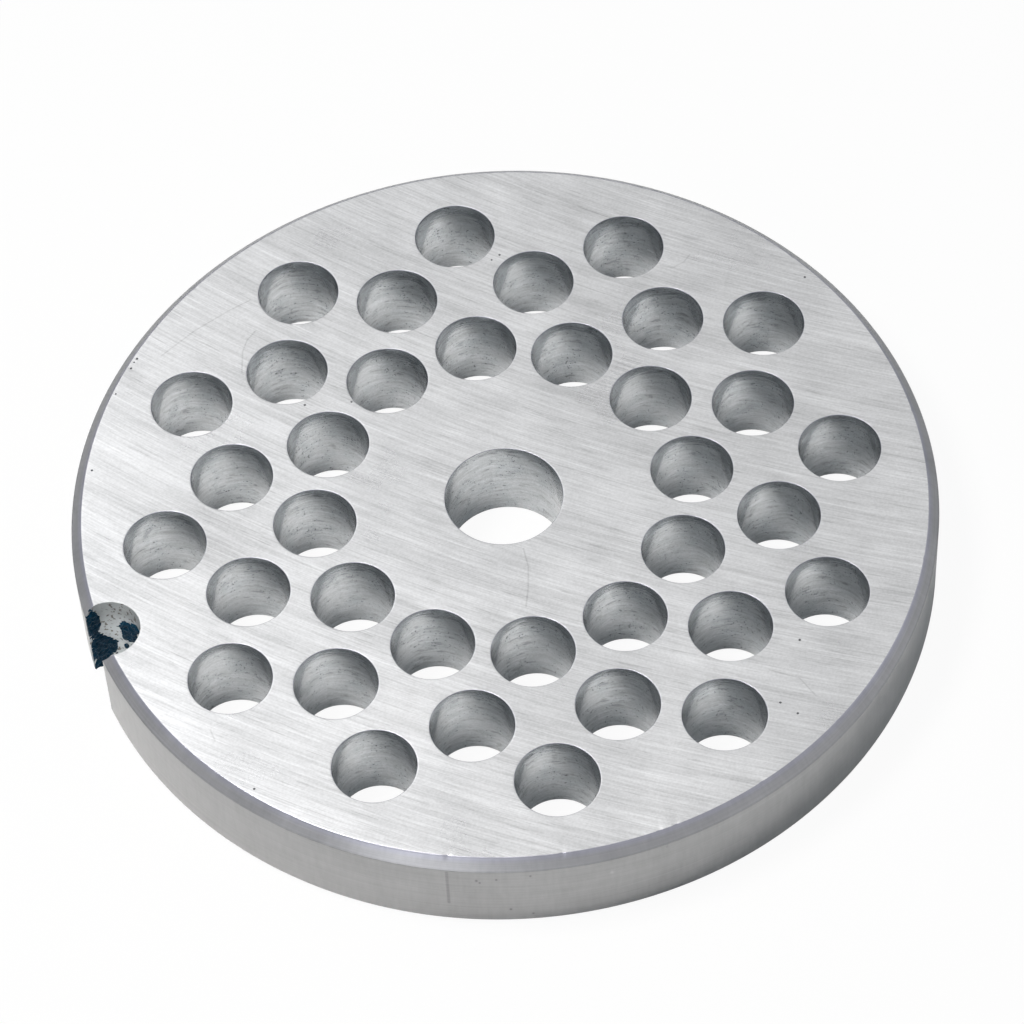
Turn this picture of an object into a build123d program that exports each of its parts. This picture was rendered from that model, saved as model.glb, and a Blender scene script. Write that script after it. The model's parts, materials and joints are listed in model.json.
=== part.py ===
"""Perforated plate of a meat grinder: one turned, drilled and ground steel disc.

The knife sweeps over the flat top face and pushes meat down through the rings of
holes. The centre bore carries the end of the feed screw, and the round notch in the
rim drops over the pin of the grinder head, so that the plate can't turn.

Frame, in millimetres: the origin is on the bore axis in the bottom face, +Z points
to the top face, and the notch lies on -X.
"""
from build123d import *
import math
import os

# the turned blank
outer_diameter = 82.5
thickness = 9.5
top_bevel = 1.0
bottom_bevel = 0.4

# the centre bore
bore_diameter = 11.25
bore_edge_break = 0.2

# the perforation: rings of equal holes, each ring turned half a pitch from the last
hole_diameter = 7.9
hole_edge_break = 0.15
holes_per_ring = 12
first_hole_angle = 17.4
hub_land = 8.54     # solid width between the bore and the first ring's holes
hole_web = 1.4      # least wall between two holes of one ring
ring_web = 1.95     # least wall between the holes of one ring and the next
rim_land = 3.0      # least solid width outside the last ring's holes

# the locating notch, a hole drilled through the rim
notch_diameter = 6.0
notch_inset = 1.6   # from the rim in to the notch's axis
notch_angle = 180.0
notch_web = 2.0     # least wall between the notch and a hole

# how far a cutter runs past each face
overcut = 0.5

outer_radius = outer_diameter / 2
bore_radius = bore_diameter / 2
hole_radius = hole_diameter / 2
notch_radius = notch_diameter / 2
pitch = 360 / holes_per_ring


def blank():
    """The disc with its bore, turned in one piece with both rims bevelled."""
    bore_mouth = bore_radius + bore_edge_break
    section = Polyline(
        (bore_mouth, 0),
        (outer_radius - bottom_bevel, 0),
        (outer_radius, bottom_bevel),
        (outer_radius, thickness - top_bevel),
        (outer_radius - top_bevel, thickness),
        (bore_mouth, thickness),
        (bore_radius, thickness - bore_edge_break),
        (bore_radius, bore_edge_break),
        close=True,
    )
    return revolve(Plane.XZ * make_face(section), Axis.Z)


def drill(radius):
    """A drilled hole as a solid, flared at both faces by the edge break."""
    mouth = radius + hole_edge_break + overcut
    section = Polyline(
        (0, -overcut),
        (mouth, -overcut),
        (radius, hole_edge_break),
        (radius, thickness - hole_edge_break),
        (mouth, thickness + overcut),
        (0, thickness + overcut),
        close=True,
    )
    return revolve(Plane.XZ * make_face(section), Axis.Z)


def ring_radii():
    """Radii of the rings, packed outwards from the hub for as long as they fit."""
    half_pitch = math.radians(pitch / 2)
    spacing = hole_diameter + ring_web
    clear_of_hub = bore_radius + hub_land + hole_radius
    clear_of_neighbours = (hole_diameter + hole_web) / (2 * math.sin(half_pitch))
    radius = max(clear_of_hub, clear_of_neighbours)
    before = -math.inf
    radii = []
    while radius + hole_radius + rim_land <= outer_radius:
        radii.append(radius)
        step = max(spacing**2 - (radius * math.sin(half_pitch)) ** 2, 0)
        staggered = radius * math.cos(half_pitch) + math.sqrt(step)
        before, radius = radius, max(staggered, before + spacing, radius + hole_web)
    return radii


def hole_centres():
    """Centres of all holes, without those that would break into the notch."""
    notch = notch_location().position
    reach = notch_radius + notch_web + hole_radius
    centres = []
    for number, radius in enumerate(ring_radii()):
        start = first_hole_angle + pitch / 2 * (number % 2)
        for place in PolarLocations(radius, holes_per_ring, start_angle=start):
            if (place.position - notch).length >= reach:
                centres.append(place.position)
    return centres


def notch_location():
    """The notch's axis, on the radius at notch_angle."""
    return Rot(0, 0, notch_angle) * Pos(outer_radius - notch_inset, 0, 0)


def grinder_plate():
    """The finished plate: the blank with every hole and the notch drilled through."""
    hole = drill(hole_radius)
    cutters = [Pos(centre) * hole for centre in hole_centres()]
    cutters.append(notch_location() * drill(notch_radius))
    return blank() - cutters


os.makedirs("parts", exist_ok=True)
export_step(grinder_plate(), "parts/grinder_plate.step")
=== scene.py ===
"""A meat grinder plate: a ground, drilled and bevelled steel disc, used and worn.

Every length is in metres. The plate lies flat on Z = 0 with the bore's axis on Z,
and its locating notch lies on -X.
"""

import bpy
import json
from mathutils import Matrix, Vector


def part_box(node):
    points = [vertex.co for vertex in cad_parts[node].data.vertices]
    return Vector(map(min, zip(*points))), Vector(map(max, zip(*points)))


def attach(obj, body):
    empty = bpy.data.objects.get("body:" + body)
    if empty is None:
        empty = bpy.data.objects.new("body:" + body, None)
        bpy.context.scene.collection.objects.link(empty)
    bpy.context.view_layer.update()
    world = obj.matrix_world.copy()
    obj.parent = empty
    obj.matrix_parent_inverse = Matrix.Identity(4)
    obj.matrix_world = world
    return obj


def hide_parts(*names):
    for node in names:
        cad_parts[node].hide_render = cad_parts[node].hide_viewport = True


bl_info = {
    "name": "Meat Grinder Plate",
    "version": (1, 0, 0),
    "blender": (4, 5, 0),
    "location": "View3D > Sidebar > Grinder Plate",
    "description": "Builds a drilled steel grinder plate, the grime in its notch and a studio",
    "category": "Add Mesh",
}

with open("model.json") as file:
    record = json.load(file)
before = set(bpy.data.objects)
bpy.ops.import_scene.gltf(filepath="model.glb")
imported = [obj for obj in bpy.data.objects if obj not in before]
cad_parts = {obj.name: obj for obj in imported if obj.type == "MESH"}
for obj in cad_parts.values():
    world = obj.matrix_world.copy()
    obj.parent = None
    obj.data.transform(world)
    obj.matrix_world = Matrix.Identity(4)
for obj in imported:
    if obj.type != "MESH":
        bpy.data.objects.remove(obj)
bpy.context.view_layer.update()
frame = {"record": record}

import json
import math

import bpy
from bpy.props import (
    FloatProperty,
    FloatVectorProperty,
    IntProperty,
    PointerProperty,
)
from mathutils import Matrix, Vector, noise
from mathutils.geometry import delaunay_2d_cdt

MM = 0.001
PLATE = "grinder_plate"
BODY = "root"
low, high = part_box(PLATE)
TOP_HEIGHT = (high.z - low.z) / MM  # of the top face above the floor, in millimetres
BEVEL_WIDTH = 1.0  # of the bevel round the top face, in millimetres
LIP_STEPS = 4  # mesh divisions across the rounded lip of a hole
MOUNTS = {mount["name"]: mount for mount in frame["record"]["mounts"]}
BORE_RADIUS = MOUNTS["centre_bore"]["dims"]["r_mm"] * MM
RIM_RADIUS = min(MOUNTS["rim"]["dims"]["r_mm"] * MM, high[1])
NOTCH_RADIUS = MOUNTS["locating_notch"]["dims"]["r_mm"] * MM
NOTCH_CENTRE = -MOUNTS["locating_notch"]["pos_m"][0]

# marks of use on the top face, in millimetres from the bore's axis
# hairline scratches: the points that each runs through
SCRATCHES = (
    ((-0.52, -6.41), (-0.86, -8.56), (-1.70, -10.70), (-2.73, -12.74)),
    ((-24.7, 28.7), (-20.7, 30.4), (-16.6, 31.5), (-14.4, 31.9)),
    ((-18.1, 23.7), (-17.2, 26.1), (-16.3, 27.3), (-15.1, 28.1)),
    ((-34.5, -14.4), (-34.5, -15.7)),
    ((24.4, 20.3), (25.4, 19.5), (26.7, 19.8), (27.6, 20.4)),
    ((15.4, -28.0), (17.6, -29.9), (18.2, -32.2)),
)
# dull smudges: place, radius and darkness
SMUDGES = (
    (-27.2, 7.0, 9.0, 0.20),
    (-41.0, 1.4, 5.0, 0.14),
    (-27.2, 27.9, 3.2, 0.16),
    (-22.5, 21.9, 2.6, 0.10),
    (27.9, -18.5, 3.0, 0.08),
)
# pits that hold dirt: place and radius
PITS = (
    (-27.0, 29.3, 0.14), (-27.9, 28.4, 0.12), (-30.3, 26.0, 0.12), (-35.3, 18.1, 0.12),
    (-13.8, 17.6, 0.13), (10.3, 27.7, 0.12), (19.3, -26.0, 0.13), (9.35, 27.4, 0.10),
    (36.9, 13.4, 0.12), (14.9, -31.7, 0.12), (15.9, -33.4, 0.12), (-9.5, 16.2, 0.11),
    (-32.9, -22.0, 0.12), (-19.1, -11.3, 0.11), (-27.4, 29.0, 0.09),
)
# marks on the side, by direction in degrees and height: an upright line, then spots
SIDE_LINE = ((-118.5, 3.1), (-118.5, 8.2))
# each spot's direction, height, radius and darkness
SIDE_SPOTS = (
    (-114.8, 7.1, 0.30, 0.45), (-114.4, 6.75, 0.24, 0.40), (-112.3, 7.3, 0.26, 0.40),
    (-108.0, 7.75, 0.26, 0.40), (-110.7, 2.2, 0.28, 0.45), (-107.9, 1.3, 0.26, 0.40),
    (-97.7, 6.4, 0.40, -0.20),
)
# nicks in the top face's edge: direction in degrees, half width and depth in millimetres
NICKS = (
    (-75.7, 0.40, 0.07), (-90.9, 0.35, 0.06), (-88.5, 0.40, 0.08), (-103.8, 0.35, 0.06),
    (-62.0, 0.35, 0.04), (-118.5, 0.40, 0.05), (-140.0, 0.35, 0.04), (-33.0, 0.40, 0.04),
    (-8.0, 0.35, 0.04), (24.0, 0.40, 0.04), (71.0, 0.40, 0.04), (118.0, 0.35, 0.04),
)


# ---------------------------------------------------------------- sizes and finishes


class PlateSizes(bpy.types.PropertyGroup):
    """Sizes of the turned and drilled plate."""

    outer_radius: FloatProperty(
        name="Outer radius", description="Radius of the turned rim",
        default=RIM_RADIUS, unit="LENGTH")
    thickness: FloatProperty(
        name="Thickness", description="From the bottom face to the top face",
        default=TOP_HEIGHT * MM, unit="LENGTH")
    top_bevel: FloatProperty(
        name="Top bevel", description="Width of the 45 degree bevel round the top face",
        default=BEVEL_WIDTH * MM, unit="LENGTH")
    bottom_bevel: FloatProperty(
        name="Bottom bevel", description="Width of the 45 degree bevel round the bottom face",
        default=0.4 * MM, unit="LENGTH")
    edge_wear: FloatProperty(
        name="Edge wear", description="Radius to which use has rounded the rim's corners",
        default=0.12 * MM, unit="LENGTH")
    hole_lip: FloatProperty(
        name="Hole lip", description="Radius of the broken edge of each hole",
        default=0.05 * MM, unit="LENGTH")
    bore_radius: FloatProperty(
        name="Bore radius", description="Radius of the centre bore",
        default=BORE_RADIUS, unit="LENGTH")
    hole_radius: FloatProperty(
        name="Hole radius", description="Radius of each mincing hole",
        default=3.93 * MM, unit="LENGTH")
    holes_per_ring: IntProperty(
        name="Holes per ring", description="Holes spaced evenly round each ring", default=12)
    ring_radii: FloatVectorProperty(
        name="Ring radii", description="Radii of the three rings of holes",
        default=(18.115 * MM, 26.16 * MM, 32.423 * MM), size=3, unit="LENGTH")
    first_hole: FloatProperty(
        name="First hole", description="Direction of a hole of the inner ring from +X",
        default=math.radians(17.4), unit="ROTATION")
    notch_radius: FloatProperty(
        name="Notch radius", description="Radius of the drilled locating notch",
        default=NOTCH_RADIUS, unit="LENGTH")
    notch_centre: FloatProperty(
        name="Notch centre", description="From the plate's axis to the notch's axis",
        default=NOTCH_CENTRE, unit="LENGTH")
    hole_sides: IntProperty(
        name="Hole sides", description="Mesh divisions round each mincing hole", default=64)
    rim_sides: IntProperty(
        name="Rim sides", description="Mesh divisions round the rim", default=1200)


class SteelFinish(bpy.types.PropertyGroup):
    """Colours and surface of the steel."""

    ground_colour: FloatVectorProperty(
        name="Ground face", description="Colour of the ground faces",
        default=(0.502, 0.507, 0.516), subtype="COLOR", size=3, min=0, max=1)
    # painted shade: the bevel is set darker, and a little bluer, than the turned side of the same steel,
    # in place of the darker surroundings it reflects
    bevel_shade_colour: FloatVectorProperty(
        name="Bevel", description="Metal colour of the bevel round the top face",
        default=(0.262, 0.265, 0.278), subtype="COLOR", size=3, min=0, max=1)
    # painted reflection: a lavender tint along the top of the bevel and the holes' upper lips, in place of
    # the bluish reflection seen there
    brow_reflection_colour: FloatVectorProperty(
        name="Top of the bevel", description="Colour of the bevel near the top face",
        default=(0.27, 0.275, 0.345), subtype="COLOR", size=3, min=0, max=1)
    turned_colour: FloatVectorProperty(
        name="Turned side", description="Metal colour of the turned side",
        default=(0.395, 0.395, 0.40), subtype="COLOR", size=3, min=0, max=1)
    drilled_colour: FloatVectorProperty(
        name="Drilled walls", description="Colour of the drilled hole walls",
        default=(0.535, 0.555, 0.572), subtype="COLOR", size=3, min=0, max=1)
    notch_colour: FloatVectorProperty(
        name="Notch", description="Colour of the notch's wall",
        default=(0.54, 0.565, 0.575), subtype="COLOR", size=3, min=0, max=1)
    speckle_colour: FloatVectorProperty(
        name="Speckles", description="Colour of the brown speckles on the notch's wall",
        default=(0.10, 0.075, 0.055), subtype="COLOR", size=3, min=0, max=1)
    film_colour: FloatVectorProperty(
        name="Dull film", description="Colour of the dull film on the hole walls",
        default=(0.26, 0.32, 0.36), subtype="COLOR", size=3, min=0, max=1)
    grime_colour: FloatVectorProperty(
        name="Grime", description="Colour of the dried grime in the notch",
        default=(0.002, 0.030, 0.060), subtype="COLOR", size=3, min=0, max=1)
    # pale crumbs, which also serve as painted glints on the grime
    crumb_and_glint_colour: FloatVectorProperty(
        name="Crumbs", description="Colour of the pale crumbs in the grime",
        default=(0.35, 0.40, 0.42), subtype="COLOR", size=3, min=0, max=1)
    dirt_colour: FloatVectorProperty(
        name="Dirt", description="Colour of the dirt in the pits",
        default=(0.10, 0.105, 0.11), subtype="COLOR", size=3, min=0, max=1)
    grind_direction: FloatProperty(
        name="Grinding direction", description="Direction of the grinding lines from +X",
        default=math.radians(-45), unit="ROTATION")
    ground_roughness: FloatProperty(
        name="Ground roughness", description="Roughness of the ground faces",
        default=0.30, subtype="FACTOR", min=0, max=1)
    turned_roughness: FloatProperty(
        name="Turned roughness", description="Roughness of the bevel and side",
        default=0.33, subtype="FACTOR", min=0, max=1)
    drilled_roughness: FloatProperty(
        name="Drilled roughness", description="Roughness of the hole walls",
        default=0.165, subtype="FACTOR", min=0, max=1)


class Studio(bpy.types.PropertyGroup):
    """The floor, the lights and the camera."""

    floor_colour: FloatVectorProperty(
        name="Floor", description="Colour of the plain floor",
        default=(0.90, 0.90, 0.90), subtype="COLOR", size=3, min=0, max=1)
    floor_size: FloatProperty(
        name="Floor size", description="Width of the floor", default=4.0, unit="LENGTH")
    sky_level: FloatProperty(
        name="Room light", description="Strength of the even light of the room",
        default=0.10, min=0)
    sky_colour: FloatVectorProperty(
        name="Room colour", description="Colour of the even light of the room",
        default=(0.55, 0.85, 1.0), subtype="COLOR", size=3, min=0, max=1)
    lens: FloatProperty(
        name="Lens", description="Focal length in millimetres", default=160.03)
    view_distance: FloatProperty(
        name="Camera distance", description="From the camera to the top face",
        default=431.1 * MM, unit="LENGTH")
    view_azimuth: FloatProperty(
        name="Camera azimuth", description="Turn of the camera round the plate, 0 looks along +Y",
        default=math.radians(-18.56), unit="ROTATION")
    view_elevation: FloatProperty(
        name="Camera elevation", description="Angle of the camera above the floor",
        default=math.radians(53.893), unit="ROTATION")
    view_roll: FloatProperty(
        name="Camera roll", description="Turn of the camera about its own axis",
        default=math.radians(3.376), unit="ROTATION")


# ---------------------------------------------------------------- the plate's form


def smooth(low_edge, high_edge, value):
    """0 below low_edge, 1 above high_edge and a soft step between."""
    share = min(1.0, max(0.0, (value - low_edge) / (high_edge - low_edge)))
    return share * share * (3 - 2 * share)


def lip_flare(radius, depth):
    """How far a hole's lip of this radius stands back from the wall at a depth below the face."""
    left = max(0.0, radius - depth)
    return radius - math.sqrt(radius * radius - left * left)


def corner_rows(corner, turn_from, turn_to, wear, steps):
    """Points round a worn convex corner of a profile, whose surface turns from one slope to another."""
    reach = wear * math.tan((turn_to - turn_from) / 2)
    start = (corner[0] - reach * math.cos(turn_from), corner[1] + reach * math.sin(turn_from))
    centre = (start[0] - wear * math.sin(turn_from), start[1] - wear * math.cos(turn_from))
    turns = [turn_from + (turn_to - turn_from) * step / steps for step in range(steps + 1)]
    return [(centre[0] + wear * math.sin(turn), centre[1] + wear * math.cos(turn)) for turn in turns]


def between(first, last, count):
    """Points evenly spaced between two, without the two."""
    shares = [step / (count + 1) for step in range(1, count + 1)]
    return [tuple(a + (b - a) * share for a, b in zip(first, last)) for share in shares]


def rim_profile(sizes):
    """The rim's section from the top face to the bottom face, as rows of (radius, height, notch flare)."""
    radius, top = sizes.outer_radius, sizes.thickness
    wear, lip = sizes.edge_wear, sizes.hole_lip
    quarter = math.pi / 2
    face_edge = corner_rows((radius - sizes.top_bevel, top), 0, quarter / 2, wear, 4)
    bevel_edge = corner_rows((radius, top - sizes.top_bevel), quarter / 2, quarter, wear, 4)
    side_end = corner_rows((radius, sizes.bottom_bevel), 0, quarter / 2, wear, 3)
    side_end = [(radius - (sizes.bottom_bevel - y), x - radius + sizes.bottom_bevel) for x, y in side_end]
    foot = [(r, top - h) for r, h in corner_rows(
        (radius - sizes.bottom_bevel, top), 0, quarter / 2, wear, 3)][::-1]
    heel = [(r, top - h) for r, h in corner_rows(
        (radius, top - sizes.bottom_bevel), quarter / 2, quarter, wear, 3)][::-1]
    rows = face_edge + between(face_edge[-1], bevel_edge[0], 4) + bevel_edge
    rows += between(bevel_edge[-1], heel[0], 6) + heel + between(heel[-1], foot[0], 2) + foot
    profile = [(r, h, lip_flare(lip, min(h, top - h))) for r, h in rows]
    land = 0.25 * MM
    return ([(face_edge[0][0] - land, top, lip + land)] + profile
            + [(foot[-1][0] - land, 0.0, lip + land)])


def rim_outline(sizes, radius, notch_radius):
    """One level of the rim: round the plate from horn to horn of the notch, then round the notch."""
    centre = sizes.notch_centre
    half_gap = math.acos((radius ** 2 + centre ** 2 - notch_radius ** 2) / (2 * radius * centre))
    sides, notch_sides = sizes.rim_sides, notch_divisions(sizes)
    outline = []
    for step in range(sides + 1):
        angle = math.pi + half_gap + (2 * math.pi - 2 * half_gap) * step / sides
        outline.append((radius * math.cos(angle), radius * math.sin(angle)))
    horn = outline[-1]
    reach = math.atan2(horn[1], horn[0] + centre)
    for step in range(1, notch_sides):
        angle = reach - 2 * reach * step / notch_sides
        outline.append((notch_radius * math.cos(angle) - centre, notch_radius * math.sin(angle)))
    return outline


def nicked(sizes, point):
    """A point of the rim, pushed in where a nick has chipped the top face's edge."""
    x, y, height = point
    radius, drop = math.hypot(x, y), sizes.thickness - height
    corner = math.hypot(radius - sizes.outer_radius + sizes.top_bevel, drop)
    near = 1 - smooth(0.12 * MM, 0.55 * MM, corner)
    if near <= 0 or drop <= 0 and radius < sizes.outer_radius - sizes.top_bevel - 0.2 * MM:
        return point
    push = 0.012 * near * abs(noise.noise(Vector((x, y, 0)) / MM * 1.7))
    for direction, half_width, depth in NICKS:
        turn = math.remainder(math.atan2(y, x) - math.radians(direction), 2 * math.pi)
        push = max(push, depth * near * (1 - smooth(0.15, 1.0, abs(turn) * radius / (half_width * MM))))
    share = 1 - push * MM / radius
    return x * share, y * share, height - 0.6 * push * MM


def notch_divisions(sizes):
    """Mesh divisions round the notch, as fine as round the mincing holes."""
    return sizes.hole_sides


def hole_centres(sizes):
    """The mincing holes' axes: three rings, each turned half a pitch from the last."""
    pitch = 2 * math.pi / sizes.holes_per_ring
    for ring, radius in enumerate(sizes.ring_radii):
        for number in range(sizes.holes_per_ring):
            angle = sizes.first_hole + pitch * (number + ring % 2 / 2)
            yield radius * math.cos(angle), radius * math.sin(angle)


def hole_profile(sizes, radius):
    """A hole's section from the top face to the bottom face, as rows of (radius, height)."""
    lip, top, land = sizes.hole_lip, sizes.thickness, 0.15 * MM
    mouth = []
    for step in range(LIP_STEPS + 1):
        turn = math.pi / 2 * step / LIP_STEPS
        mouth.append((radius + lip * (1 - math.sin(turn)), top - lip * (1 - math.cos(turn))))
    foot = [(r, top - h) for r, h in reversed(mouth)]
    wall = between(mouth[-1], foot[0], 5)
    return [(radius + lip + land, top)] + mouth + wall + foot + [(radius + lip + land, 0.0)]


def worn_rows(x, y, radius, section, sides):
    """A hole's rows of points, with its lips worn a little unevenly."""
    rows = []
    for reach, height in section:
        row = []
        for side in range(sides):
            turn = 2 * math.pi * side / sides
            way = Vector((math.cos(turn), math.sin(turn), 0))
            uneven = 1 + 0.3 * noise.noise(Vector((x, y, height)) / MM * 3.1 + way * 2.6)
            out = reach if reach == section[0][0] else radius + (reach - radius) * uneven
            row.append((x + out * way.x, y + out * way.y, height))
        rows.append(row)
    return rows


class Skin:
    """Collects the vertices and faces of one mesh, with a finish for each face."""

    def __init__(self):
        self.points, self.faces, self.finishes = [], [], []

    def band(self, rows, finish_of, inward=False):
        """Joins closed rows of points, from the top down, and returns the first and last row's numbers."""
        numbers = []
        for row in rows:
            numbers.append(list(range(len(self.points), len(self.points) + len(row))))
            self.points.extend(row)
        for level, (upper, under) in enumerate(zip(numbers, numbers[1:])):
            for column, number in enumerate(upper):
                following = (column + 1) % len(upper)
                face = [number, under[column], under[following], upper[following]]
                self.faces.append(face[::-1] if inward else face)
                self.finishes.append(finish_of(level, column))
        return numbers[0], numbers[-1]

    def cap(self, loops, inner, keeps, finish, upward):
        """Fills between closed loops of points with triangles, on the side where keeps() is true."""
        numbers = [number for loop in loops for number in loop]
        flat = [Vector(self.points[number][:2]) for number in numbers] + [Vector(p) for p in inner]
        height = self.points[numbers[0]][2]
        edges, start = [], 0
        for loop in loops:
            edges += [(start + i, start + (i + 1) % len(loop)) for i in range(len(loop))]
            start += len(loop)
        made, _, triangles, origins, _, _ = delaunay_2d_cdt(flat, edges, [], 0, 1e-9)
        names = []
        for point, origin in zip(made, origins):
            if origin and origin[0] < len(numbers):
                names.append(numbers[origin[0]])
            else:
                names.append(len(self.points))
                self.points.append((point.x, point.y, height))
        for triangle in triangles:
            centre = sum((made[i] for i in triangle), Vector((0, 0))) / len(triangle)
            if keeps(centre):
                face = [names[i] for i in triangle]
                self.faces.append(face if upward else face[::-1])
                self.finishes.append(finish)

    def mesh(self, name, materials):
        """Makes the Blender object."""
        data = bpy.data.meshes.new(name)
        data.from_pydata(self.points, [], self.faces)
        data.polygons.foreach_set("material_index", self.finishes)
        for material in materials:
            data.materials.append(material)
        data.validate()
        data.shade_smooth()
        data.set_sharp_from_angle(angle=math.radians(38))
        made = bpy.data.objects.new(name, data)
        bpy.context.scene.collection.objects.link(made)
        return made


# ---------------------------------------------------------------- shader helpers


class Finish:
    """A pen that draws one material's nodes."""

    def __init__(self, name, tree=None):
        if tree is None:
            self.material = bpy.data.materials.new(name)
            self.material.use_nodes = True
            tree = self.material.node_tree
        self.tree = tree
        self.tree.nodes.clear()

    def add(self, kind, inputs=None, **settings):
        """Adds a node; an input is a number, a colour or another node's output."""
        made = self.tree.nodes.new(kind)
        for name, value in settings.items():
            setattr(made, name, value)
        for key, value in (inputs or {}).items():
            if isinstance(value, bpy.types.NodeSocket):
                self.tree.links.new(value, made.inputs[key])
            else:
                made.inputs[key].default_value = value
        return made

    def math(self, operation, *values, clamp=False):
        """One step of arithmetic."""
        inputs = dict(enumerate(values))
        return self.add("ShaderNodeMath", inputs, operation=operation, use_clamp=clamp).outputs[0]

    def step(self, value, start, end):
        """A soft step of value from 0 at start to 1 at end."""
        return self.add("ShaderNodeMapRange", {
            "Value": value, "From Min": start, "From Max": end},
            interpolation_type="SMOOTHSTEP").outputs[0]

    def vary(self, value, waves, amount):
        """A value that follows noise up and down."""
        return self.math("ADD", value, self.math("MULTIPLY", self.math("SUBTRACT", waves, 0.5), amount))

    def lower(self, value, where, amount):
        """A value brought down by an amount where another is 1."""
        return self.math("SUBTRACT", value, self.math("MULTIPLY", where, amount))

    def noise(self, vector, detail=2.0, rough=0.5, scale=1.0):
        """Fractal noise round 0.5."""
        return self.add("ShaderNodeTexNoise", {
            "Vector": vector, "Scale": scale, "Detail": detail, "Roughness": rough}).outputs[0]

    def place(self, x, y, z=0.0):
        """A vector from three values."""
        return self.add("ShaderNodeCombineXYZ", {0: x, 1: y, 2: z}).outputs[0]

    def millimetres(self, turn=0.0):
        """The object's own coordinates in millimetres, turned about Z."""
        spot = self.add("ShaderNodeTexCoord").outputs["Object"]
        return self.add("ShaderNodeMapping", {
            "Vector": spot, "Rotation": (0, 0, turn), "Scale": (1 / MM,) * 3}).outputs[0]

    def split(self, vector):
        """A vector's three parts."""
        return self.add("ShaderNodeSeparateXYZ", {0: vector}).outputs[:3]

    def mix(self, share, first, second):
        """Blends two colours."""
        return self.add("ShaderNodeMix", {0: share, 6: first, 7: second}, data_type="RGBA").outputs[2]

    def tint(self, colour, level):
        """A colour made lighter or darker by a level."""
        return self.add("ShaderNodeVectorMath", {0: colour, 3: level}, operation="SCALE").outputs[0]

    def vector(self, operation, first, second=(0.0, 0.0, 0.0)):
        """One step of arithmetic on vectors."""
        return self.add("ShaderNodeVectorMath", {0: first, 1: second}, operation=operation)

    def hairline(self, spot, start, end, half_width):
        """1 on a straight mark between two points, fading to 0 at its half width."""
        start, end = Vector((*start, 0)), Vector((*end, 0))
        way = (end - start).normalized()
        gone = self.vector("SUBTRACT", spot, tuple(start)).outputs[0]
        along = self.vector("DOT_PRODUCT", gone, tuple(way)).outputs[1]
        along = self.math("MINIMUM", self.math("MAXIMUM", along, 0.0), (end - start).length)
        foot = self.tint(tuple(way), along)
        away = self.vector("LENGTH", self.vector("SUBTRACT", gone, foot).outputs[0]).outputs[1]
        return self.step(away, half_width, half_width * 0.3)

    def spread(self, spot, centre, radius):
        """1 at a centre, fading to 0 at a radius."""
        away = self.vector("DISTANCE", spot, (*centre, 0.0)).outputs[1]
        return self.step(away, radius, radius * 0.1)

    def bump(self, height, distance, under=None):
        """A normal from a height in units of distance."""
        inputs = {"Height": height, "Distance": distance}
        if under is not None:
            inputs["Normal"] = under
        return self.add("ShaderNodeBump", inputs).outputs[0]

    def surface(self, **inputs):
        """Ends the material with a principled shader."""
        named = {key.replace("_", " "): value for key, value in inputs.items()}
        shader = self.add("ShaderNodeBsdfPrincipled", named)
        self.add("ShaderNodeOutputMaterial", {"Surface": shader.outputs[0]})
        return self.material


def rgba(colour):
    """A colour with full opacity."""
    return (*colour[:3], 1.0)


# ---------------------------------------------------------------- the finishes


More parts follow.
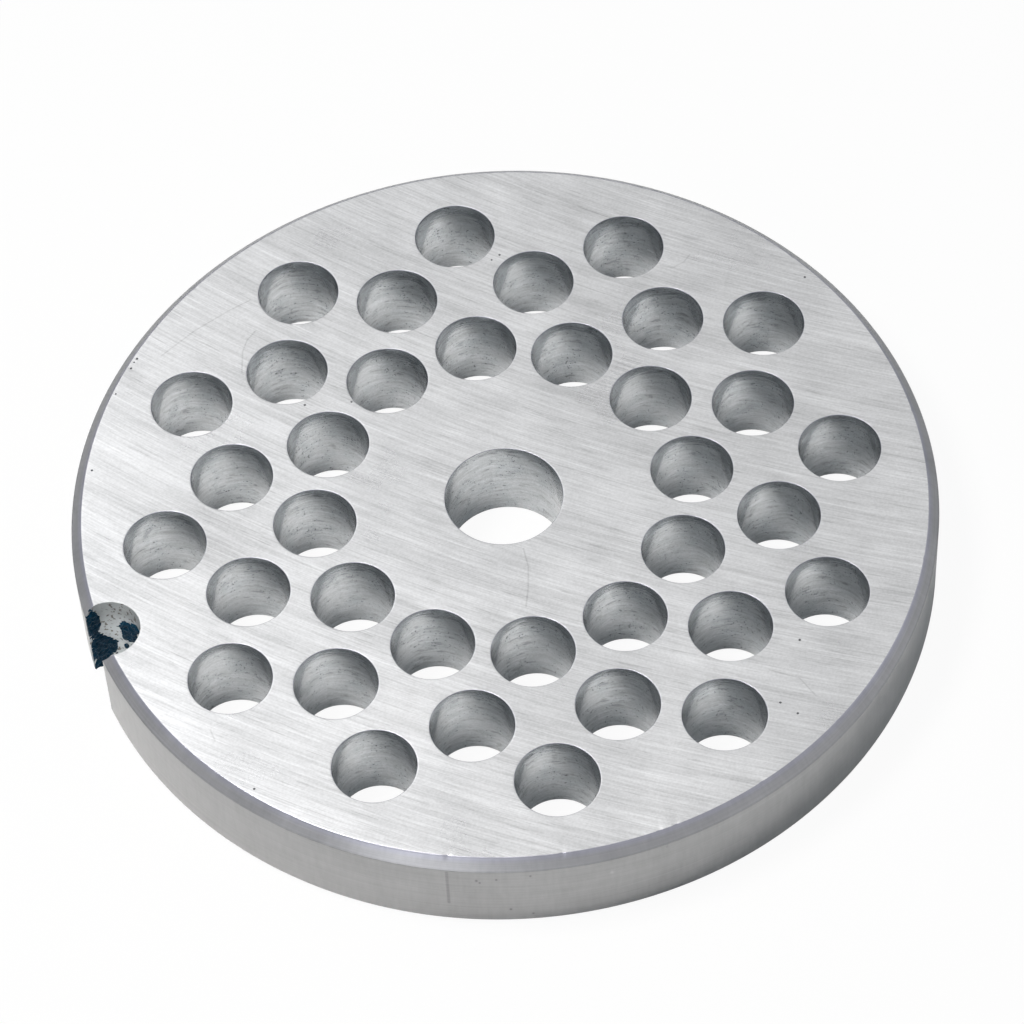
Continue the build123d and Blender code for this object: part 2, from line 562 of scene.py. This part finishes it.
def ground_steel(finish):
    """The ground faces: long curved grinding lines, hairlines, smudges and fine pits."""
    pen = Finish("ground_steel")
    across_x, across_y, z = pen.split(pen.millimetres(turn=-finish.grind_direction))
    bend = 0.00235
    bow = pen.math("MULTIPLY", pen.math("MULTIPLY", across_x, across_x), bend)
    line = pen.math("SUBTRACT", across_y, bow)
    fine = pen.noise(pen.place(
        pen.math("MULTIPLY", across_x, 0.14), pen.math("MULTIPLY", line, 8.5), z), 2.0, 0.6)
    coarse = pen.noise(pen.place(
        pen.math("MULTIPLY", across_x, 0.18), pen.math("MULTIPLY", line, 2.2), z), 3.0, 0.6)
    sweep = pen.noise(pen.place(
        pen.math("MULTIPLY", across_x, 0.025), pen.math("MULTIPLY", line, 0.45), z), 2.0, 0.5)
    scratch = pen.step(pen.noise(pen.place(
        pen.math("MULTIPLY", across_x, 0.33), pen.math("MULTIPLY", line, 5.5), z), 1.0, 0.5), 0.64, 0.74)
    plain = pen.millimetres()
    cloud = pen.noise(plain, 4.0, 0.6, scale=0.085)
    haze = pen.noise(plain, 3.0, 0.65, scale=0.35)
    speckle = pen.noise(plain, 1.0, 0.5, scale=4.6)
    level = pen.vary(1.0, fine, 0.56)
    level = pen.vary(level, speckle, 0.26)
    level = pen.vary(level, coarse, 0.44)
    level = pen.vary(level, sweep, 0.32)
    level = pen.vary(level, cloud, 0.22)
    level = pen.vary(level, haze, 0.14)
    level = pen.lower(level, scratch, 0.14)
    x, y, height = pen.split(plain)
    upper = pen.step(height, TOP_HEIGHT - 0.5, TOP_HEIGHT - 0.2)
    flat = pen.place(x, y)
    ragged = pen.vector("ADD", flat, pen.tint(pen.add("ShaderNodeTexNoise", {
        "Vector": flat, "Scale": 0.5, "Detail": 3.0}).outputs["Color"], 3.0)).outputs[0]
    dull = 0.0
    for across, along, radius, darkness in SMUDGES:
        centre = (across + 1.5, along + 1.5)
        dull = pen.math("ADD", dull, pen.math("MULTIPLY", pen.spread(ragged, centre, radius), darkness))
    dull = pen.math("MULTIPLY", dull, pen.math("MULTIPLY", upper, pen.math("ADD", 0.4, haze)))
    cut = 0.0
    for points in SCRATCHES:
        for start, end in zip(points, points[1:]):
            cut = pen.math("MAXIMUM", cut, pen.hairline(flat, start, end, 0.11))
    cut = pen.math("MULTIPLY", cut, upper)
    level = pen.math("SUBTRACT", level, pen.math("ADD", dull, pen.math("MULTIPLY", cut, 0.16)))
    rough = pen.vary(finish.ground_roughness, cloud, 0.20)
    height = pen.math("ADD", fine, pen.math("MULTIPLY", coarse, 1.5))
    height = pen.lower(height, scratch, 0.5)
    return pen.surface(
        Base_Color=pen.tint(tuple(finish.ground_colour), level), Metallic=1.0,
        Roughness=rough, Normal=pen.bump(height, 3.5e-6))


def turned_steel(finish):
    """The bevel, the side and the holes' lips: fine rings left by the lathe and handling marks, with
    painted shade on the bevel and the upper lips and a painted bluish reflection along the top.
    """
    pen = Finish("turned_steel")
    spot = pen.millimetres()
    x, y, z = pen.split(spot)
    radius = pen.math("POWER", pen.math("ADD", pen.math(
        "MULTIPLY", x, x), pen.math("MULTIPLY", y, y)), 0.5)
    angle = pen.math("ARCTAN2", y, x)
    rings = pen.noise(pen.place(
        pen.math("MULTIPLY", angle, 2.0), pen.math("MULTIPLY", z, 7.0),
        pen.math("MULTIPLY", radius, 7.0)), 2.0, 0.6)
    marks = pen.noise(pen.place(
        pen.math("MULTIPLY", angle, 90.0), pen.math("MULTIPLY", z, 0.35), radius), 2.0, 0.6)
    smudge = pen.noise(spot, 3.0, 0.6, scale=0.3)
    level = pen.vary(1.0, rings, 0.30)
    level = pen.vary(level, marks, 0.20)
    level = pen.vary(level, smudge, 0.30)
    rough = pen.vary(finish.turned_roughness, smudge, 0.25)
    foot = TOP_HEIGHT - BEVEL_WIDTH
    # painted shade: from the bevel's foot upward the colour turns to the darker bevel colour
    bevel = pen.step(z, foot - 0.08, foot + 0.08)
    # painted reflection: a lavender tint, at half share, near the top edge
    brow_reflection = pen.math("MULTIPLY", pen.step(z, TOP_HEIGHT - 0.5, TOP_HEIGHT - 0.1), 0.5)
    seam = pen.step(pen.math("ABSOLUTE", pen.math("SUBTRACT", z, foot)), 0.16, 0.04)
    level = pen.lower(level, seam, 0.06)
    unrolled = pen.place(pen.math("MULTIPLY", angle, math.degrees(1)), z)
    level = pen.lower(level, pen.hairline(unrolled, *SIDE_LINE, 0.30), 0.24)
    for direction, rise, reach, darkness in SIDE_SPOTS:
        mark = pen.spread(unrolled, (direction, rise), reach)
        level = pen.lower(level, mark, darkness)
    # the bevel and the upper lips get painted shade, and near the top a lavender tint as a painted
    # reflection
    colour = pen.mix(bevel, rgba(finish.turned_colour), rgba(finish.bevel_shade_colour))
    colour = pen.mix(brow_reflection, colour, rgba(finish.brow_reflection_colour))
    height = pen.math("ADD", rings, pen.math("MULTIPLY", marks, 0.4))
    return pen.surface(
        Base_Color=pen.tint(colour, level), Metallic=1.0,
        Roughness=rough, Normal=pen.bump(height, 8e-6))


def drilled_steel(finish):
    """The walls of the holes and the bore: rings from the drill, dull streaks and small pits."""
    pen = Finish("drilled_steel")
    spot = pen.millimetres()
    x, y, z = pen.split(spot)
    waver = pen.noise(spot, 1.0, 0.5, scale=0.22)
    depth = pen.math("ADD", z, pen.math("MULTIPLY", waver, 1.6))
    rings = pen.noise(pen.place(
        pen.math("MULTIPLY", x, 0.25), pen.math("MULTIPLY", y, 0.25),
        pen.math("MULTIPLY", depth, 2.7)), 3.0, 0.7)
    streaks = pen.step(pen.noise(pen.place(
        pen.math("MULTIPLY", x, 0.7), pen.math("MULTIPLY", y, 0.7),
        pen.math("MULTIPLY", depth, 2.0)), 2.0, 0.6), 0.56, 0.70)
    film = pen.noise(spot, 4.0, 0.65, scale=0.45)
    grain = pen.noise(spot, 2.0, 0.6, scale=5.5)
    pits = pen.step(pen.noise(spot, 1.0, 0.4, scale=4.4), 0.65, 0.72)
    pitted = pen.math("MULTIPLY", pits, pen.step(film, 0.40, 0.58))
    level = pen.vary(1.0, rings, 0.85)
    level = pen.vary(level, film, 0.35)
    level = pen.vary(level, grain, 0.45)
    level = pen.lower(level, streaks, 0.28)
    level = pen.lower(level, pitted, 0.55)
    rough = pen.vary(finish.drilled_roughness, film, 0.15)
    height = pen.math("ADD", rings, pen.math("MULTIPLY", grain, 0.4))
    height = pen.lower(height, pitted, 0.8)
    filmed = pen.math("ADD", 0.04, pen.math("MULTIPLY", pen.math("SUBTRACT", film, 0.5), 0.8), clamp=True)
    colour = pen.mix(filmed, rgba(finish.drilled_colour), rgba(finish.film_colour))
    return pen.surface(
        Base_Color=pen.tint(colour, level), Metallic=pen.math("SUBTRACT", 1.0, filmed),
        Roughness=rough, Normal=pen.bump(height, 16e-6))


def notch_steel(finish):
    """The notch's wall: pale drilled steel with brown and dark speckles, darker towards the top."""
    pen = Finish("notch_steel")
    spot = pen.millimetres()
    height = pen.split(spot)[2]
    speckle = pen.noise(spot, 2.0, 0.6, scale=2.4)
    film = pen.noise(spot, 3.0, 0.6, scale=0.8)
    spots = pen.step(speckle, 0.56, 0.66)
    level = pen.vary(1.15, film, 0.5)
    # darker towards the top of the wall
    level = pen.lower(level, pen.step(height, 5.8, 8.2), 0.42)
    colour = pen.mix(
        pen.math("MULTIPLY", spots, 0.85), rgba(finish.notch_colour), rgba(finish.speckle_colour))
    rise = pen.math("SUBTRACT", film, pen.math("MULTIPLY", spots, 0.6))
    return pen.surface(
        Base_Color=pen.tint(colour, level), Metallic=0.5,
        Roughness=0.45, Normal=pen.bump(rise, 30e-6))


def pit_dirt(finish):
    """Dry dark dirt held in the pits of the top face."""
    pen = Finish("pit_dirt")
    crumbs = pen.noise(pen.millimetres(), 2.0, 0.6, scale=6.0)
    colour = pen.tint(tuple(finish.dirt_colour), pen.math("ADD", 0.5, crumbs))
    return pen.surface(Base_Color=colour, Roughness=0.7)


def dried_grime(finish):
    """Dark, lumpy dried grime with a few wet glints, partly real and partly painted in as pale crumbs."""
    pen = Finish("dried_grime")
    spot = pen.millimetres()
    lumps = pen.noise(spot, 4.0, 0.6, scale=1.6)
    crumbs = pen.noise(spot, 2.0, 0.6, scale=7.0)
    # pale crumbs, which also stand in for painted glints
    pale = pen.math("MULTIPLY", pen.step(crumbs, 0.67, 0.73), 0.5)
    dark = pen.tint(tuple(finish.grime_colour), pen.math("ADD", 0.4, pen.math("MULTIPLY", lumps, 1.2)))
    colour = pen.mix(pale, dark, rgba(finish.crumb_and_glint_colour))
    rough = pen.math("SUBTRACT", 0.62, pen.math("MULTIPLY", lumps, 0.35))
    height = pen.math("ADD", lumps, pen.math("MULTIPLY", crumbs, 0.5))
    return pen.surface(
        Base_Color=colour, Roughness=rough, Specular_IOR_Level=0.1, Normal=pen.bump(height, 80e-6))


# ---------------------------------------------------------------- operators


class BuildPlate(bpy.types.Operator):
    """Build the plate's finer skin, with worn edges, in place of the plain one"""

    bl_idname = "grinder_plate.build_plate"
    bl_label = "Plate"

    def pit(self, skin, x, y, top, radius, finish):
        """Sinks a small dished pit into the top face and returns its outer row's numbers."""
        sides = 12
        turns = [2 * math.pi * side / sides for side in range(sides)]
        dish = ((1.0, 0.0), (0.8, 0.03 * MM), (0.4, 0.05 * MM))
        rows = [[(x + radius * share * math.cos(t), y + radius * share * math.sin(t), top - sunk)
                 for t in turns] for share, sunk in dish]
        first, last = skin.band(rows, lambda level, _: finish, inward=True)
        skin.faces.append(last)
        skin.finishes.append(finish)
        return first

    def execute(self, context):
        sizes, finish = context.scene.plate_sizes, context.scene.steel_finish
        ground, turned, drilled, notched, soiled = range(5)
        skin = Skin()
        profile = rim_profile(sizes)
        rows = []
        for radius, height, flare in profile:
            outline = rim_outline(sizes, radius, sizes.notch_radius + flare)
            rows.append([nicked(sizes, (x, y, height)) for x, y in outline])
        last_level = len(rows) - 2

        def rim_finish(level, column):
            if level in (0, last_level):
                return ground
            return turned if column < sizes.rim_sides else notched

        top, bottom = skin.band(rows, rim_finish)
        tops, bottoms = [top], [bottom]
        openings = [(0.0, 0.0, sizes.bore_radius, 120)]
        openings += [(x, y, sizes.hole_radius, sizes.hole_sides) for x, y in hole_centres(sizes)]
        reaches = []
        for x, y, radius, sides in openings:
            section = hole_profile(sizes, radius)
            rows = worn_rows(x, y, radius, section, sides)
            last = len(rows) - 2

            def hole_finish(level, _):
                if level in (0, last):
                    return ground
                # the lips take the turned steel, which at the top face gives them its painted shade and
                # painted bluish reflection
                return drilled if LIP_STEPS < level < last - LIP_STEPS else turned

            top, bottom = skin.band(rows, hole_finish, inward=True)
            tops.append(top)
            bottoms.append(bottom)
            reaches.append((Vector((x, y)), section[0][0] * math.cos(math.pi / sides)))
        pitted = []
        for x, y, radius in PITS:
            top = self.pit(skin, x * MM, y * MM, sizes.thickness, radius * MM, soiled)
            tops.append(top)
            pitted.append((Vector((x, y)) * MM, radius * MM * math.cos(math.pi / len(top))))

        def on_face(reach, reaches):
            notch = Vector((-sizes.notch_centre, 0))
            notch_reach = sizes.notch_radius + profile[0][2]

            def keeps(point, gap=0.0):
                if point.length > reach - gap or (point - notch).length < notch_reach * 0.9985 + gap:
                    return False
                return all((point - centre).length > radius * 0.9999 + gap for centre, radius in reaches)
            return keeps

        spacing = 2.0 * MM
        count = int(sizes.outer_radius / spacing)
        grid = [Vector((i * spacing + j % 2 * spacing / 2, j * spacing * 0.866))
                for i in range(-count, count) for j in range(-count - 3, count + 3)]
        for loops, level, gaps, upward in (
                (tops, profile[0], reaches + pitted, True), (bottoms, profile[-1], reaches, False)):
            keeps = on_face(level[0], gaps)
            inner = [point for point in grid if keeps(point, 0.5 * MM)]
            skin.cap(loops, inner, keeps, ground, upward)
        materials = [ground_steel(finish), turned_steel(finish), drilled_steel(finish),
                     notch_steel(finish), pit_dirt(finish)]
        plate = skin.mesh("ground_plate", materials)
        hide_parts(PLATE)
        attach(plate, BODY)
        return {"FINISHED"}


class BuildGrime(bpy.types.Operator):
    """Build the dried grime that clings to the notch's wall"""

    bl_idname = "grinder_plate.build_grime"
    bl_label = "Grime"

    # patches on the notch's wall: direction in degrees, height, half width and half height, in mm
    patches = (
        (107, 6.6, 0.80, 2.6),
        (99, 2.4, 1.45, 2.3),
        (84, 2.5, 0.95, 1.6),
        (104, 0.5, 0.95, 1.3),
        (40, 5.0, 1.15, 1.9),
        (22, 6.4, 0.80, 0.7),
        (52, 2.5, 0.30, 0.4),
        (38, 2.0, 0.25, 0.3),
    )

    def crust(self, radius, angle, height):
        """Thickness of the grime on the wall, below zero where there is none."""
        reach = -1.0
        for direction, level, half_width, half_height in self.patches:
            across = (angle - math.radians(direction)) * radius / (half_width * MM)
            along = (height - level * MM) / (half_height * MM)
            reach = max(reach, 1 - math.hypot(across, along))
        spot = Vector((radius * math.cos(angle), radius * math.sin(angle), height)) / MM
        reach += 0.30 * noise.noise(spot * 1.4) + 0.22 * noise.noise(spot * 3.7)
        lumps = 0.5 + 0.5 * noise.noise(spot * 2.2) + 0.35 * noise.noise(spot * 5.5)
        return smooth(0.0, 0.45, reach) * (0.10 + 0.26 * lumps) * MM - 0.02 * MM

    def execute(self, context):
        sizes, finish = context.scene.plate_sizes, context.scene.steel_finish
        radius, top = sizes.notch_radius, sizes.thickness
        reach, columns, levels = math.radians(119), 200, 150
        points, places, faces = [], {}, []

        def place(column, level, back):
            key = (column, level, back)
            if key not in places:
                angle = reach - 2 * reach * column / columns
                height = 0.03 * MM + (top - 0.2 * MM) * level / levels
                rise = -0.06 * MM if back else max(thick[column][level], -0.02 * MM)
                places[key] = len(points)
                points.append(((radius - rise) * math.cos(angle) - sizes.notch_centre,
                               (radius - rise) * math.sin(angle), height))
            return places[key]

        thick = [[self.crust(radius, reach - 2 * reach * c / columns,
                             0.03 * MM + (top - 0.2 * MM) * l / levels)
                  for l in range(levels + 1)] for c in range(columns + 1)]
        covered = set()
        for c in range(columns):
            for l in range(levels):
                if max(thick[c][l], thick[c + 1][l], thick[c][l + 1], thick[c + 1][l + 1]) > -0.015 * MM:
                    covered.add((c, l))
        for c, l in covered:
            ring = [(c, l), (c, l + 1), (c + 1, l + 1), (c + 1, l)]
            faces.append([place(*corner, False) for corner in ring])
            faces.append([place(*corner, True) for corner in reversed(ring)])
            beyond = [(c - 1, l), (c, l + 1), (c + 1, l), (c, l - 1)]
            for side, (first, second) in enumerate(zip(ring, ring[1:] + ring[:1])):
                if beyond[side] not in covered:
                    faces.append([place(*second, False), place(*first, False),
                                  place(*first, True), place(*second, True)])
        skin = Skin()
        skin.points, skin.faces, skin.finishes = points, faces, [0] * len(faces)
        grime = skin.mesh("notch_grime", [dried_grime(finish)])
        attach(grime, BODY)
        return {"FINISHED"}


class BuildStudio(bpy.types.Operator):
    """Set the floor, the soft lights, the room and the camera"""

    bl_idname = "grinder_plate.build_studio"
    bl_label = "Studio"

    # soft boxes: name, azimuth and elevation in degrees, distance, width, power and colour
    lamps = (
        ("lamp_key", 174, 69.5, 0.30, 0.09, 0.71, (1.0, 0.965, 0.93)),
        ("lamp_right", 0, 42, 0.90, 0.50, 0.8, (1.0, 1.0, 1.0)),
        ("lamp_low_left", 228, 28, 0.90, 0.35, 0.8, (1.0, 1.0, 1.0)),
        ("lamp_back", 100, 55, 0.90, 0.35, 0.5, (1.0, 1.0, 1.0)),
    )

    def floor(self, studio):
        """A plain pale floor under the plate."""
        half = studio.floor_size / 2
        data = bpy.data.meshes.new("floor")
        drop = -0.02 * MM
        data.from_pydata([(-half, -half, drop), (half, -half, drop), (half, half, drop),
                          (-half, half, drop)], [], [(0, 1, 2, 3)])
        pen = Finish("pale_floor")
        seen = pen.add("ShaderNodeLightPath").outputs
        shown = pen.math("MULTIPLY", seen["Is Camera Ray"], 0.94)
        shown = pen.math("ADD", shown, pen.math("MULTIPLY", seen["Is Glossy Ray"], 0.08))
        shown = pen.math("ADD", shown, pen.math("MULTIPLY", seen["Is Transmission Ray"], 0.94))
        matt = pen.add("ShaderNodeBsdfDiffuse", {"Color": rgba(studio.floor_colour)})
        white = pen.add("ShaderNodeEmission", {"Strength": 1.0})
        both = pen.add("ShaderNodeMixShader", {0: shown, 1: matt.outputs[0], 2: white.outputs[0]})
        pen.add("ShaderNodeOutputMaterial", {"Surface": both.outputs[0]})
        data.materials.append(pen.material)
        made = bpy.data.objects.new("floor", data)
        bpy.context.scene.collection.objects.link(made)

    def lamp(self, name, azimuth, elevation, distance, width, power, colour):
        """One soft box that faces the plate."""
        data = bpy.data.lights.new(name, "AREA")
        data.shape, data.size, data.energy, data.color = "SQUARE", width, power, colour
        turn, rise = math.radians(azimuth), math.radians(elevation)
        place = distance * Vector((
            math.cos(turn) * math.cos(rise), math.sin(turn) * math.cos(rise), math.sin(rise)))
        made = bpy.data.objects.new(name, data)
        made.location = place
        made.rotation_euler = place.to_track_quat("Z", "Y").to_euler()
        bpy.context.scene.collection.objects.link(made)

    def room(self, studio):
        """Even light from the room, and a white background that metal and glass show too."""
        world = bpy.data.worlds.new("room")
        world.use_nodes = True
        pen = Finish("room", world.node_tree)
        seen = pen.add("ShaderNodeLightPath").outputs
        white = pen.math("MAXIMUM", seen["Is Glossy Ray"], seen["Is Transmission Ray"])
        white = pen.math("MAXIMUM", white, seen["Is Camera Ray"])
        level = pen.add("ShaderNodeMix", {0: white, 2: studio.sky_level, 3: 1.0}).outputs[0]
        colour = pen.mix(white, rgba(studio.sky_colour), (1.0, 1.0, 1.0, 1.0))
        light = pen.add("ShaderNodeBackground", {"Color": colour, "Strength": level})
        pen.add("ShaderNodeOutputWorld", {"Surface": light.outputs[0]})
        bpy.context.scene.world = world

    def camera(self, studio, top):
        """The camera, above the plate and a little to one side."""
        turn, rise, roll = studio.view_azimuth, studio.view_elevation, studio.view_roll
        back = Vector((math.sin(turn) * math.cos(rise), -math.cos(turn) * math.cos(rise), math.sin(rise)))
        right = Vector((math.cos(turn), math.sin(turn), 0))
        up = back.cross(right)
        level = Matrix((right, up, back)).transposed()
        data = bpy.data.cameras.new("camera")
        data.sensor_width, data.lens = 36.0, studio.lens
        data.clip_start, data.clip_end = 0.01, 20.0
        made = bpy.data.objects.new("camera", data)
        made.rotation_euler = (level @ Matrix.Rotation(-roll, 3, "Z")).to_euler()
        aim = Vector((0.03 * MM, -2.05 * MM, top))
        made.location = aim + back * studio.view_distance
        bpy.context.scene.collection.objects.link(made)
        bpy.context.scene.camera = made

    def execute(self, context):
        studio = context.scene.plate_studio
        self.floor(studio)
        for lamp in self.lamps:
            self.lamp(*lamp)
        self.room(studio)
        self.camera(studio, context.scene.plate_sizes.thickness)
        context.scene.view_settings.view_transform = "Standard"
        return {"FINISHED"}


class PlatePanel(bpy.types.Panel):
    """Sizes, finishes and builders of the grinder plate"""

    bl_idname = "VIEW3D_PT_grinder_plate"
    bl_label = "Grinder Plate"
    bl_space_type = "VIEW_3D"
    bl_region_type = "UI"
    bl_category = "Grinder Plate"

    def draw(self, context):
        for group in (context.scene.plate_sizes, context.scene.steel_finish, context.scene.plate_studio):
            box = self.layout.box()
            for name in group.__annotations__:
                box.prop(group, name)
        for operator in OPERATORS:
            self.layout.operator(operator.bl_idname)


GROUPS = {"plate_sizes": PlateSizes, "steel_finish": SteelFinish, "plate_studio": Studio}
OPERATORS = (BuildPlate, BuildGrime, BuildStudio)


def register():
    for made in (*GROUPS.values(), *OPERATORS, PlatePanel):
        bpy.utils.register_class(made)
    for name, group in GROUPS.items():
        setattr(bpy.types.Scene, name, PointerProperty(type=group))


def unregister():
    for name in GROUPS:
        delattr(bpy.types.Scene, name)
    for made in reversed((*GROUPS.values(), *OPERATORS, PlatePanel)):
        bpy.utils.unregister_class(made)


def main():
    register()
    bpy.ops.grinder_plate.build_plate()
    bpy.ops.grinder_plate.build_grime()
    bpy.ops.grinder_plate.build_studio()


if __name__ == "__main__":
    main()
